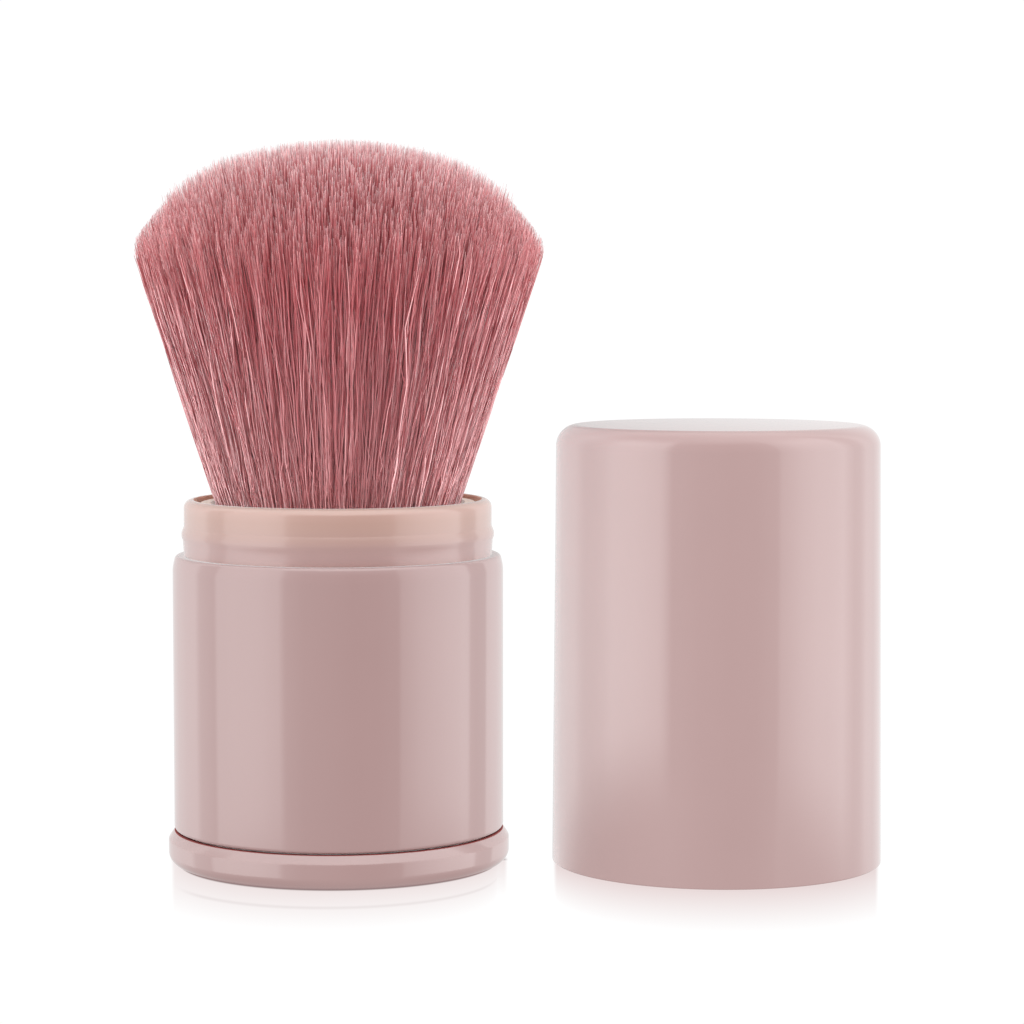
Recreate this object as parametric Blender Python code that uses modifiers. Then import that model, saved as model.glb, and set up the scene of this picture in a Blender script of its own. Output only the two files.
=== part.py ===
"""A retractable makeup brush with its cap standing beside it.

Metres, +Z up, the brush's axis on Z and its foot on the plane z = 0. The foot, the plunger tube and the
seat carry the bristles. The sleeve slides up that carriage and gathers the bristles into its neck. The cap
stands on its own axis, to the right of the brush.
"""
import math

import bmesh
import bpy

# Foot: the round-edged disc that the brush stands on, and how far it stands out past the shell
FOOT_OVERHANG = 0.00055
FOOT_HEIGHT = 0.0036
FOOT_WALL = 0.00125
FOOT_FLOOR = 0.0012
FOOT_TOP_ROUND = 0.0009
FOOT_BOTTOM_ROUND = 0.0012

# Sleeve: the glossy outer shell and the liner whose neck stands out of it
SHELL_RADIUS = 0.0180
SHELL_WALL = 0.00095
SHELL_EDGE_ROUND = 0.0004
LINER_WALL = 0.00125
NECK_HEIGHT = 0.00595
NECK_FLARE = 0.0001
NECK_DRAW_IN = 0.00011
NECK_EDGE_ROUND = 0.0009
NECK_BORE_ROUND = 0.0002
BEAD_REACH = 0.00015
BEAD_ABOVE_SHOULDER = 0.00215
BEAD_WIDTH = 0.0004
BEAD_UPPER_SLOPE = 0.0010
BEAD_LOWER_SLOPE = 0.0004

# Slide: how far the sleeve travels, and the keys that stop it from turning
SLEEVE_TRAVEL = 0.0200
STOP_RING_HEIGHT = 0.0030
STOP_RING_WALL = 0.0017
KEY_COUNT = 3
GROOVE_WIDTH = 0.0024
GROOVE_DEPTH = 0.0007
KEY_REACH = 0.0004

# Plunger tube and what is pressed into its foot
TUBE_WALL = 0.0014
SPIGOT_LENGTH = 0.0040
SPIGOT_WALL = 0.0015
SLUG_THICKNESS = 0.0050
RETAINER_WALL = 0.0009
RETAINER_HEIGHT = 0.0030
PRESSED_EDGE_ROUND = 0.0004

# Seat: the cream moulding that carries the ferrule on top of the plunger tube
SEAT_DROP_BELOW_NECK = 0.00035
SEAT_HEIGHT = 0.01215
SEAT_WALL = 0.0013
SEAT_FLOOR = 0.0022
SEAT_EDGE_ROUND = 0.0003
BAND_GROOVE_DEPTH = 0.0008
BAND_HEIGHT = 0.0014
BAND_THICKNESS = 0.0007
BAND_EDGE_ROUND = 0.0002
LOWER_BAND_ABOVE_SEAT_FOOT = 0.0022
UPPER_BAND_BELOW_SEAT_TOP = 0.0028

# Ferrule, glue and bristles: the tuft flares out past the neck's bore and ends in a dome
FERRULE_WALL = 0.0004
FERRULE_BELOW_SEAT_TOP = 0.0022
BACKING_THICKNESS = 0.0017
BACKING_BELOW_FERRULE_TOP = 0.0006
TUFT_FLARE = 0.0068
TUFT_FLARE_LENGTH = 0.0268
TUFT_DOME_HEIGHT = 0.0120
STRAND_COUNT = 360
STRAND_SIDES = 3
STRAND_TAPER = 0.0050
STRAND_ROOT_SHARE = 0.36
STRAND_BELLY_SHARE = 0.65
STRAND_TIP_SHARE = 0.10
STRAND_SINK = 0.0003

# Cap: flush with the shell at its mouth and drawn in a little towards its crown, as a moulding is
CAP_STANDOFF = 0.00485
CAP_DRAW_IN = 0.0004
CAP_HEIGHT = 0.0478
CAP_BEAD_FIT = 0.0001
CAP_CROWN_WALL = 0.0012
CAP_CROWN_ROUND = 0.0023
CAP_INNER_ROUND = 0.0012
CAP_EDGE_ROUND = 0.0002
SNAP_RIDGE_ABOVE_MOUTH = 0.0014
SNAP_RIDGE_HALF_WIDTH = 0.0005
SNAP_RIDGE_HEIGHT = 0.0002

# Fits: the gap between pieces that touch, the sliding bands' gap, and how far a cutter runs past a face
FIT = 0.0003
BAND_FIT = 0.0002
OVERRUN = 0.0010
MERGE_DISTANCE = 0.000005

# Fineness of the turned pieces and of their rounded edges
VISIBLE_STEPS = 64
HIDDEN_STEPS = 48
ROUND_CHORD = 0.0007
SHARP_ANGLE = math.radians(32)
GOLDEN_ANGLE = math.pi * (3 - math.sqrt(5))
HALVINGS = 40

# Heights that follow from the sizes above
SLEEVE_FOOT = FOOT_HEIGHT + FIT
STOP_RING_TOP = SLEEVE_FOOT + STOP_RING_HEIGHT
SEAT_FOOT = STOP_RING_TOP + SLEEVE_TRAVEL + FIT
SEAT_TOP = SEAT_FOOT + SEAT_HEIGHT
NECK_TOP = SEAT_TOP + SEAT_DROP_BELOW_NECK
SHOULDER_HEIGHT = NECK_TOP - NECK_HEIGHT
TUFT_SHOULDER_HEIGHT = NECK_TOP + TUFT_FLARE_LENGTH
TUFT_HEIGHT = TUFT_SHOULDER_HEIGHT + TUFT_DOME_HEIGHT
FERRULE_FOOT = SEAT_FOOT + SEAT_FLOOR + FIT
FERRULE_TOP = SEAT_TOP - FERRULE_BELOW_SEAT_TOP
BACKING_TOP = FERRULE_TOP - BACKING_BELOW_FERRULE_TOP
BACKING_FOOT = BACKING_TOP - BACKING_THICKNESS
SPIGOT_TOP = FOOT_HEIGHT + SPIGOT_LENGTH
SLUG_TOP = SPIGOT_TOP + FIT + SLUG_THICKNESS

# Radii that follow from the shell's, each one fit inside its neighbour
FOOT_RADIUS = SHELL_RADIUS + FOOT_OVERHANG
LINER_RADIUS = SHELL_RADIUS - SHELL_WALL - FIT
LINER_BORE_RADIUS = LINER_RADIUS - LINER_WALL
NECK_FOOT_RADIUS = LINER_RADIUS + NECK_FLARE
NECK_TOP_RADIUS = NECK_FOOT_RADIUS - NECK_DRAW_IN
BEAD_RADIUS = NECK_FOOT_RADIUS + BEAD_REACH
STOP_RING_RADIUS = LINER_BORE_RADIUS - FIT
STOP_RING_BORE_RADIUS = STOP_RING_RADIUS - STOP_RING_WALL
SEAT_RADIUS = LINER_BORE_RADIUS - FIT
SEAT_CUP_RADIUS = SEAT_RADIUS - SEAT_WALL
FERRULE_RADIUS = SEAT_CUP_RADIUS - FIT
BACKING_RADIUS = FERRULE_RADIUS - FERRULE_WALL - FIT
TUBE_RADIUS = STOP_RING_BORE_RADIUS - FIT
TUBE_BORE_RADIUS = TUBE_RADIUS - TUBE_WALL
SPIGOT_RADIUS = TUBE_BORE_RADIUS - FIT
SPIGOT_BORE_RADIUS = SPIGOT_RADIUS - SPIGOT_WALL
TUFT_RADIUS = LINER_BORE_RADIUS + TUFT_FLARE
CAP_MOUTH_RADIUS = SHELL_RADIUS
CAP_MOUTH_BORE_RADIUS = BEAD_RADIUS + CAP_BEAD_FIT
CAP_CROWN_RADIUS = CAP_MOUTH_RADIUS - CAP_DRAW_IN
CAP_AXIS_X = FOOT_RADIUS + CAP_STANDOFF + CAP_MOUTH_RADIUS

# Strands: their spacing at the roots, and the circle that the outermost ones start from
STRAND_PITCH = BACKING_RADIUS * math.sqrt(math.pi / STRAND_COUNT)
STRAND_ROOT_SIZE = STRAND_PITCH * STRAND_ROOT_SHARE
FAN_ROOT_RADIUS = BACKING_RADIUS - STRAND_ROOT_SIZE - FIT


def empty_scene():
    """Remove whatever the open file holds."""
    for thing in list(bpy.data.objects):
        bpy.data.objects.remove(thing, do_unlink=True)


def new_collection(name):
    collection = bpy.data.collections.new(name)
    bpy.context.scene.collection.children.link(collection)
    return collection


def new_finish(name, colour, roughness, metallic=0.0):
    """A Principled material of one colour."""
    material = bpy.data.materials.new(name)
    material.use_nodes = True
    shader = material.node_tree.nodes["Principled BSDF"]
    shader.inputs["Base Color"].default_value = (*colour, 1.0)
    shader.inputs["Roughness"].default_value = roughness
    shader.inputs["Metallic"].default_value = metallic
    return material


def rounded(corners, closed):
    """The outline through corners of (radius, height) or (radius, height, rounding)."""
    outline = []
    count = len(corners)
    for number, corner in enumerate(corners):
        r, z, rounding = (*corner, 0.0)[:3]
        ends_here = not closed and number in (0, count - 1)
        if rounding == 0 or ends_here:
            outline.append((r, z))
            continue
        before = corners[number - 1]
        after = corners[(number + 1) % count]
        outline += corner_arc((r, z), before[:2], after[:2], rounding)
    return outline


def corner_arc(corner, before, after, rounding):
    """Points of the arc of radius rounding that replaces a corner between its two neighbours."""
    to_before = math.atan2(before[1] - corner[1], before[0] - corner[0])
    to_after = math.atan2(after[1] - corner[1], after[0] - corner[0])
    opening = (to_after - to_before + math.pi) % math.tau - math.pi
    half = abs(opening) / 2
    middle = to_before + opening / 2
    reach = rounding / math.sin(half)
    centre = (corner[0] + reach * math.cos(middle), corner[1] + reach * math.sin(middle))
    sweep = math.pi - abs(opening)
    pieces = math.ceil(sweep * rounding / ROUND_CHORD)
    turn = math.copysign(sweep, opening)
    first = middle + math.pi + turn / 2
    return [
        (
            centre[0] + rounding * math.cos(first - turn * step / pieces),
            centre[1] + rounding * math.sin(first - turn * step / pieces),
        )
        for step in range(pieces + 1)
    ]


def finished(piece, finish, parent, collection):
    """Keep the piece's evaluated shape as its mesh, shade it, and hang it on its body."""
    collection.objects.link(piece)
    bpy.context.view_layer.update()
    evaluated = piece.evaluated_get(bpy.context.evaluated_depsgraph_get())
    mesh = bpy.data.meshes.new_from_object(evaluated)
    piece.modifiers.clear()
    piece.data = mesh
    mesh.name = piece.name
    mesh.shade_smooth()
    mesh.set_sharp_from_angle(angle=SHARP_ANGLE)
    mesh.materials.clear()
    mesh.materials.append(finish)
    piece.parent = parent
    return piece


def turned_form(name, corners, closed, steps):
    """A turned object, not yet in a collection: its outline runs down the outer side."""
    outline = rounded(corners, closed)
    count = len(outline)
    edges = [(number, (number + 1) % count) for number in range(count if closed else count - 1)]
    mesh = bpy.data.meshes.new(name)
    mesh.from_pydata([(r, 0.0, z) for r, z in outline], edges, [])
    form = bpy.data.objects.new(name, mesh)
    screw = form.modifiers.new("Turn", "SCREW")
    screw.axis = "Z"
    screw.angle = math.tau
    screw.steps = screw.render_steps = steps
    screw.use_merge_vertices = True
    screw.merge_threshold = MERGE_DISTANCE
    return form


def tool_block(name, size, centre, turn, tools):
    """A block among the cutters, turned about Z at the brush's axis."""
    mesh = bpy.data.meshes.new(name)
    block = bmesh.new()
    bmesh.ops.create_cube(block, size=1.0)
    bmesh.ops.scale(block, vec=size, verts=block.verts)
    bmesh.ops.translate(block, vec=centre, verts=block.verts)
    block.to_mesh(mesh)
    block.free()
    tool = bpy.data.objects.new(name, mesh)
    tool.rotation_euler = (0.0, 0.0, turn)
    return kept_as_tool(tool, tools)


def kept_as_tool(tool, tools):
    tools.objects.link(tool)
    tool.display_type = "WIRE"
    tool.hide_render = True
    return tool


def combine(form, tool, operation):
    """Add a Boolean of the tool to the form."""
    step = form.modifiers.new(tool.name, "BOOLEAN")
    step.operation = operation
    step.solver = "EXACT"
    step.object = tool


def key_turns():
    return [math.tau * number / KEY_COUNT for number in range(KEY_COUNT)]


def base_cover():
    """The foot's shallow cup: flat underneath, rounded at both outer edges."""
    cup_radius = FOOT_RADIUS - FOOT_WALL
    corners = [
        (0.0, FOOT_FLOOR),
        (cup_radius, FOOT_FLOOR),
        (cup_radius, FOOT_HEIGHT),
        (FOOT_RADIUS, FOOT_HEIGHT, FOOT_TOP_ROUND),
        (FOOT_RADIUS, 0.0, FOOT_BOTTOM_ROUND),
        (0.0, 0.0),
    ]
    return turned_form("base_cover", corners, False, VISIBLE_STEPS)


def base_plug():
    """A disc that fills the foot, with the spigot that the plunger tube stands on."""
    disc_radius = FOOT_RADIUS - FOOT_WALL - FIT
    corners = [
        (0.0, SPIGOT_TOP),
        (SPIGOT_RADIUS, SPIGOT_TOP, PRESSED_EDGE_ROUND),
        (SPIGOT_RADIUS, FOOT_HEIGHT),
        (disc_radius, FOOT_HEIGHT),
        (disc_radius, FOOT_FLOOR + FIT),
        (0.0, FOOT_FLOOR + FIT),
    ]
    return turned_form("base_plug", corners, False, HIDDEN_STEPS)


def plunger_tube(tools):
    """The tube from foot to seat, with a straight groove for each of the sleeve's keys."""
    foot = SLEEVE_FOOT
    top = SEAT_FOOT - FIT
    corners = [(TUBE_RADIUS, top), (TUBE_RADIUS, foot), (TUBE_BORE_RADIUS, foot), (TUBE_BORE_RADIUS, top)]
    tube = turned_form("plunger_tube", corners, True, HIDDEN_STEPS)
    floor_radius = TUBE_RADIUS - GROOVE_DEPTH
    depth = GROOVE_DEPTH + OVERRUN
    size = (depth, GROOVE_WIDTH, top - foot + 2 * OVERRUN)
    centre = (floor_radius + depth / 2, 0.0, (top + foot) / 2)
    for number, turn in enumerate(key_turns()):
        combine(tube, tool_block(f"key_groove_{number + 1}", size, centre, turn, tools), "DIFFERENCE")
    return tube


def weight_slug():
    foot = SPIGOT_TOP + FIT
    corners = [
        (0.0, SLUG_TOP),
        (SPIGOT_RADIUS, SLUG_TOP, PRESSED_EDGE_ROUND),
        (SPIGOT_RADIUS, foot, PRESSED_EDGE_ROUND),
        (0.0, foot),
    ]
    return turned_form("weight_slug", corners, False, HIDDEN_STEPS)


def slug_retainer():
    """A thin cup pressed down onto the slug, open towards the seat."""
    foot = SLUG_TOP + FIT
    floor = foot + RETAINER_WALL
    rim = foot + RETAINER_HEIGHT
    cup_radius = SPIGOT_RADIUS - RETAINER_WALL
    corners = [
        (0.0, floor),
        (cup_radius, floor),
        (cup_radius, rim),
        (SPIGOT_RADIUS, rim),
        (SPIGOT_RADIUS, foot),
        (0.0, foot),
    ]
    return turned_form("slug_retainer", corners, False, HIDDEN_STEPS)


def band_centres():
    """Heights of the middles of the lower and upper friction bands."""
    return (SEAT_FOOT + LOWER_BAND_ABOVE_SEAT_FOOT, SEAT_TOP - UPPER_BAND_BELOW_SEAT_TOP)


def brush_seat():
    """A cup for the ferrule, grooved outside for two bands, with a hollow spigot in the tube below."""
    groove_radius = SEAT_RADIUS - BAND_GROOVE_DEPTH
    groove_half = BAND_HEIGHT / 2 + BAND_FIT
    spigot_foot = SEAT_FOOT - SPIGOT_LENGTH
    floor = SEAT_FOOT + SEAT_FLOOR
    corners = [(0.0, floor), (SEAT_CUP_RADIUS, floor), (SEAT_CUP_RADIUS, SEAT_TOP)]
    corners.append((SEAT_RADIUS, SEAT_TOP, SEAT_EDGE_ROUND))
    for centre in reversed(band_centres()):
        corners += [
            (SEAT_RADIUS, centre + groove_half),
            (groove_radius, centre + groove_half),
            (groove_radius, centre - groove_half),
            (SEAT_RADIUS, centre - groove_half),
        ]
    corners += [
        (SEAT_RADIUS, SEAT_FOOT),
        (SPIGOT_RADIUS, SEAT_FOOT),
        (SPIGOT_RADIUS, spigot_foot),
        (SPIGOT_BORE_RADIUS, spigot_foot),
        (SPIGOT_BORE_RADIUS, SEAT_FOOT),
        (0.0, SEAT_FOOT),
    ]
    return turned_form("brush_seat", corners, False, HIDDEN_STEPS)


def friction_band(name, centre):
    """An elastomer band that stands a little proud of the seat."""
    inner = SEAT_RADIUS - BAND_GROOVE_DEPTH + BAND_FIT
    outer = inner + BAND_THICKNESS
    half = BAND_HEIGHT / 2
    corners = [
        (outer, centre + half, BAND_EDGE_ROUND),
        (outer, centre - half, BAND_EDGE_ROUND),
        (inner, centre - half),
        (inner, centre + half),
    ]
    return turned_form(name, corners, True, HIDDEN_STEPS)


def ferrule():
    """A drawn cup that holds the fibres' roots."""
    bore_radius = FERRULE_RADIUS - FERRULE_WALL
    floor = FERRULE_FOOT + FERRULE_WALL
    corners = [
        (0.0, floor),
        (bore_radius, floor),
        (bore_radius, FERRULE_TOP),
        (FERRULE_RADIUS, FERRULE_TOP),
        (FERRULE_RADIUS, FERRULE_FOOT),
        (0.0, FERRULE_FOOT),
    ]
    return turned_form("ferrule", corners, False, HIDDEN_STEPS)


def resin_plug():
    """The glue under the slice that the fibres stand in."""
    top = BACKING_FOOT - FIT
    foot = FERRULE_FOOT + FERRULE_WALL + FIT
    corners = [(0.0, top), (BACKING_RADIUS, top), (BACKING_RADIUS, foot), (0.0, foot)]
    return turned_form("resin_plug", corners, False, HIDDEN_STEPS)


def fan_spread(height):
    """How many times wider the fan of fibres is at a height than at its roots."""
    rise = (height - BACKING_TOP) / (TUFT_SHOULDER_HEIGHT - BACKING_TOP)
    return 1 + (TUFT_RADIUS / FAN_ROOT_RADIUS - 1) * rise


def tip_height(root_radius):
    """Where a fibre that starts at root_radius meets the dome, found by halving."""
    low, high = TUFT_SHOULDER_HEIGHT, TUFT_HEIGHT
    for _ in range(HALVINGS):
        middle = (low + high) / 2
        out_share = min(1.0, root_radius * fan_spread(middle) / TUFT_RADIUS)
        dome = TUFT_SHOULDER_HEIGHT + (TUFT_HEIGHT - TUFT_SHOULDER_HEIGHT) * math.sqrt(1 - out_share**2)
        if dome > middle:
            low = middle
        else:
            high = middle
    return low


def strand_rings(root_radius, direction):
    """Centre and size of a strand's rings, from below its root to its tip."""
    tip = tip_height(root_radius)
    levels = (
        (BACKING_TOP - STRAND_SINK, STRAND_ROOT_SIZE),
        (tip - STRAND_TAPER, STRAND_PITCH * STRAND_BELLY_SHARE),
        (tip, STRAND_PITCH * STRAND_TIP_SHARE),
    )
    rings = []
    for height, size in levels:
        reach = root_radius * fan_spread(height)
        rings.append(((reach * math.cos(direction), reach * math.sin(direction), height), size))
    return rings


def strand_forms(tools):
    """All strands as one tool: straight, fanned out from their roots in a sunflower layout."""
    strands = bmesh.new()
    for number in range(STRAND_COUNT):
        root_radius = FAN_ROOT_RADIUS * math.sqrt((number + 0.5) / STRAND_COUNT)
        direction = number * GOLDEN_ANGLE
        add_strand(strands, strand_rings(root_radius, direction), direction)
    mesh = bpy.data.meshes.new("strands")
    strands.to_mesh(mesh)
    strands.free()
    return kept_as_tool(bpy.data.objects.new("strands", mesh), tools)


def add_strand(strands, rings, direction):
    """One strand: its rings joined by side faces and closed at both ends."""
    rows = []
    for centre, size in rings:
        row = []
        for side in range(STRAND_SIDES):
            turn = direction + math.tau * side / STRAND_SIDES
            row.append(
                strands.verts.new(
                    (centre[0] + size * math.cos(turn), centre[1] + size * math.sin(turn), centre[2])
                )
            )
        rows.append(row)
    for lower, upper in zip(rows, rows[1:]):
        for side in range(STRAND_SIDES):
            after = (side + 1) % STRAND_SIDES
            strands.faces.new((lower[side], lower[after], upper[after], upper[side]))
    strands.faces.new(rows[0][::-1])
    strands.faces.new(rows[-1])


def bristle_tuft(tools):
    """The fibres as strands, fused to the slice of glue that they stand in."""
    corners = [
        (0.0, BACKING_TOP),
        (BACKING_RADIUS, BACKING_TOP),
        (BACKING_RADIUS, BACKING_FOOT),
        (0.0, BACKING_FOOT),
    ]
    tuft = turned_form("bristle_tuft", corners, False, HIDDEN_STEPS)
    combine(tuft, strand_forms(tools), "UNION")
    return tuft


def outer_shell():
    corners = [
        (SHELL_RADIUS, SHOULDER_HEIGHT, SHELL_EDGE_ROUND),
        (SHELL_RADIUS, SLEEVE_FOOT, SHELL_EDGE_ROUND),
        (SHELL_RADIUS - SHELL_WALL, SLEEVE_FOOT),
        (SHELL_RADIUS - SHELL_WALL, SHOULDER_HEIGHT),
    ]
    return turned_form("outer_shell", corners, True, VISIBLE_STEPS)


def neck_liner():
    """The liner: a neck with a snap bead above the shoulder, and a plain tube inside the shell."""
    bead_top = SHOULDER_HEIGHT + BEAD_ABOVE_SHOULDER + BEAD_WIDTH / 2
    bead_foot = bead_top - BEAD_WIDTH
    corners = [
        (NECK_TOP_RADIUS, NECK_TOP, NECK_EDGE_ROUND),
        (NECK_TOP_RADIUS, bead_top + BEAD_UPPER_SLOPE),
        (BEAD_RADIUS, bead_top),
        (BEAD_RADIUS, bead_foot),
        (NECK_FOOT_RADIUS, bead_foot - BEAD_LOWER_SLOPE),
        (LINER_RADIUS, SHOULDER_HEIGHT),
        (LINER_RADIUS, SLEEVE_FOOT),
        (LINER_BORE_RADIUS, SLEEVE_FOOT),
        (LINER_BORE_RADIUS, NECK_TOP, NECK_BORE_ROUND),
    ]
    return turned_form("neck_liner", corners, True, VISIBLE_STEPS)


def stop_ring(tools):
    """The ring in the liner's foot: its keys ride in the grooves, its top meets the seat at full travel."""
    corners = [
        (STOP_RING_RADIUS, STOP_RING_TOP),
        (STOP_RING_RADIUS, SLEEVE_FOOT),
        (STOP_RING_BORE_RADIUS, SLEEVE_FOOT),
        (STOP_RING_BORE_RADIUS, STOP_RING_TOP),
    ]
    ring = turned_form("stop_ring", corners, True, HIDDEN_STEPS)
    inner = TUBE_RADIUS - KEY_REACH
    outer = (STOP_RING_BORE_RADIUS + STOP_RING_RADIUS) / 2
    size = (outer - inner, GROOVE_WIDTH - 2 * FIT, STOP_RING_HEIGHT - 2 * FIT)
    centre = ((inner + outer) / 2, 0.0, (SLEEVE_FOOT + STOP_RING_TOP) / 2)
    for number, turn in enumerate(key_turns()):
        combine(ring, tool_block(f"key_{number + 1}", size, centre, turn, tools), "UNION")
    return ring


def cap_shell():
    """The cap: a drawn-in cup with a rounded crown and a snap ridge inside its mouth."""
    crown_bore = CAP_CROWN_RADIUS - CAP_CROWN_WALL
    ceiling = CAP_HEIGHT - CAP_CROWN_WALL
    ridge = SNAP_RIDGE_ABOVE_MOUTH
    corners = [
        (0.0, CAP_HEIGHT),
        (CAP_CROWN_RADIUS, CAP_HEIGHT, CAP_CROWN_ROUND),
        (CAP_MOUTH_RADIUS, 0.0, CAP_EDGE_ROUND),
        (CAP_MOUTH_BORE_RADIUS, 0.0),
        (CAP_MOUTH_BORE_RADIUS, ridge - SNAP_RIDGE_HALF_WIDTH),
        (CAP_MOUTH_BORE_RADIUS - SNAP_RIDGE_HEIGHT, ridge),
        (CAP_MOUTH_BORE_RADIUS, ridge + SNAP_RIDGE_HALF_WIDTH),
        (crown_bore, ceiling, CAP_INNER_ROUND),
        (0.0, ceiling),
    ]
    return turned_form("cap_shell", corners, False, VISIBLE_STEPS)


def new_body(name, x, collection):
    """An empty on a body's axis that its pieces hang on."""
    body = bpy.data.objects.new(name, None)
    body.location = (x, 0.0, 0.0)
    body.empty_display_size = FOOT_RADIUS
    collection.objects.link(body)
    return body


def build():
    empty_scene()
    brush = new_collection("retractable_makeup_brush")
    tools = new_collection("cutters")
    carriage = new_body("carriage", 0.0, brush)
    sleeve = new_body("sleeve", 0.0, brush)
    cap = new_body("cap", CAP_AXIS_X, brush)

    pink = new_finish("pink_gloss_plastic", (0.60, 0.36, 0.34), 0.12)
    peach = new_finish("peach_neck_plastic", (0.66, 0.40, 0.33), 0.18)
    cream = new_finish("cream_seat_plastic", (0.80, 0.62, 0.50), 0.35)
    black = new_finish("band_elastomer", (0.03, 0.03, 0.03), 0.60)
    drawn_metal = new_finish("drawn_aluminium", (0.75, 0.75, 0.77), 0.30, 1.0)
    steel = new_finish("slug_steel", (0.45, 0.45, 0.46), 0.35, 1.0)
    glue = new_finish("amber_resin", (0.62, 0.45, 0.22), 0.25)
    white = new_finish("white_plastic", (0.75, 0.74, 0.72), 0.45)
    fibre = new_finish("rose_fibre", (0.50, 0.17, 0.19), 0.70)

    lower, upper = band_centres()
    pieces = [
        (base_cover(), pink, carriage),
        (base_plug(), white, carriage),
        (plunger_tube(tools), peach, carriage),
        (weight_slug(), steel, carriage),
        (slug_retainer(), white, carriage),
        (brush_seat(), cream, carriage),
        (friction_band("friction_band_lower", lower), black, carriage),
        (friction_band("friction_band_upper", upper), black, carriage),
        (ferrule(), drawn_metal, carriage),
        (resin_plug(), glue, carriage),
        (bristle_tuft(tools), fibre, carriage),
        (outer_shell(), pink, sleeve),
        (neck_liner(), peach, sleeve),
        (stop_ring(tools), white, sleeve),
        (cap_shell(), pink, cap),
    ]
    for piece, finish, body in pieces:
        finished(piece, finish, body, brush)


build()
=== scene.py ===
"""Looks of the retractable makeup brush and its cap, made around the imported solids.

Metres, +Z up, the brush's axis on Z, its foot on z = 0, the cap standing to its right. The foot,
shell, neck, plunger tube and cap are made again with a finer surface over their solids, and the
bristles are made strand by strand. The other solids are used as they are.
"""
import math

import bmesh
import bpy
import numpy as np
from mathutils import Matrix, Vector


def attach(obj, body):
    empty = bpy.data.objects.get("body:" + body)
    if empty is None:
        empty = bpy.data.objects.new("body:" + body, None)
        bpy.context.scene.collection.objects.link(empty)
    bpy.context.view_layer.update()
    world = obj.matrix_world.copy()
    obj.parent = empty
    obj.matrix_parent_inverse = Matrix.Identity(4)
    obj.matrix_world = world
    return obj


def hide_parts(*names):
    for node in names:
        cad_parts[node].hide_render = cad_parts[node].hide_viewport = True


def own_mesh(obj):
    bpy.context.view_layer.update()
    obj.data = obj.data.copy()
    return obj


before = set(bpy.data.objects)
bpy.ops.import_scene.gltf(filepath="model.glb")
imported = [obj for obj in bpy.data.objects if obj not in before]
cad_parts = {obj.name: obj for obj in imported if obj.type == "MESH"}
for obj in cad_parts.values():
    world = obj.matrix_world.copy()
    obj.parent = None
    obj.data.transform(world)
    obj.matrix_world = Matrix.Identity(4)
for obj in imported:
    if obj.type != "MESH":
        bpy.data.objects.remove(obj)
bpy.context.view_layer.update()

# Camera: a long lens, a little above the brush and looking down slightly
CAMERA_X = 0.01897
CAMERA_DISTANCE = 0.3425
CAMERA_HEIGHT = 0.0632
CAMERA_PITCH = math.radians(4.17)
CAMERA_LENS = 110.7
CAMERA_SENSOR = 36.0
CAMERA_RANGE = (0.01, 10.0)

# Foot
FOOT_RADIUS = 0.01862
FOOT_HEIGHT = 0.00364
FOOT_WALL = 0.00132
FOOT_FLOOR = 0.0012
FOOT_BEVEL_WIDTH = 0.00065
FOOT_BEVEL_HEIGHT = 0.00095
FOOT_BEVEL_ROUND = 0.00025
FOOT_SIDE_ROUND = 0.0005
FOOT_INNER_BEVEL = 0.0001
FOOT_BOTTOM_ROUND = 0.0013
FOOT_POLISH_END = 0.2 * FOOT_BOTTOM_ROUND

# Shell, and the liner whose neck stands out of it
SLEEVE_FOOT = 0.00377
SHOULDER_HEIGHT = 0.03365
SHELL_RADIUS = 0.0180
SHELL_BORE = 0.01705
SHELL_EDGE_ROUND = 0.0004
SHELL_EDGE_WIDTH = 1.5 * SHELL_EDGE_ROUND
SHELL_POLISH_END = SLEEVE_FOOT + 0.35 * SHELL_EDGE_ROUND
SHOULDER_ROUND = 0.0004
BEND_WIDTH = 0.0003
BEND_HEIGHT = 0.0013
BEND_ROUND = 0.0040
LINER_RADIUS = 0.01675
LINER_BORE = 0.0155
NECK_TOP = 0.0397
NECK_TOP_RADIUS = 0.01674
NECK_FOOT_RADIUS = 0.01685
NECK_EDGE_ROUND = 0.0009
NECK_BORE_ROUND = 0.0002
NECK_RIM = LINER_BORE + NECK_BORE_ROUND
BEAD_RADIUS = 0.0170
BEAD_TOP = 0.0361
BEAD_FOOT = 0.0357
BEAD_UPPER_SLOPE = 0.00072
BEAD_LOWER_SLOPE = 0.0004
BEAD_ROUND = 0.0004

# Plunger tube, with a groove for each key of the sleeve
TUBE_RADIUS = 0.0132
TUBE_BORE = 0.0118
TUBE_FOOT = 0.0039
TUBE_TOP = 0.0269
TUBE_CHAMFER = 0.0002
GROOVE_COUNT = 3
GROOVE_WIDTH = 0.0024
GROOVE_DEPTH = 0.0007

# Cap
CAP_AXIS_X = 0.0414
CAP_MOUTH_RADIUS = 0.0180
CAP_CROWN_RADIUS = 0.0176
CAP_HEIGHT = 0.0478
CAP_MOUTH_BORE = 0.0171
CAP_CROWN_WALL = 0.0012
CAP_CROWN_ROUND = 0.0023
CAP_TOP_END = CAP_HEIGHT - 0.07 * CAP_CROWN_ROUND
CAP_INNER_ROUND = 0.0012
CAP_EDGE_ROUND = 0.0002
RIDGE_HEIGHT = 0.0014
RIDGE_HALF_WIDTH = 0.0005
RIDGE_REACH = 0.0002

# Fineness of the turned pieces
TURN_STEPS = 256
ROUND_CHORD = 0.00012
MERGE_DISTANCE = 0.000004
SHARP_ANGLE = math.radians(40)

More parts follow.
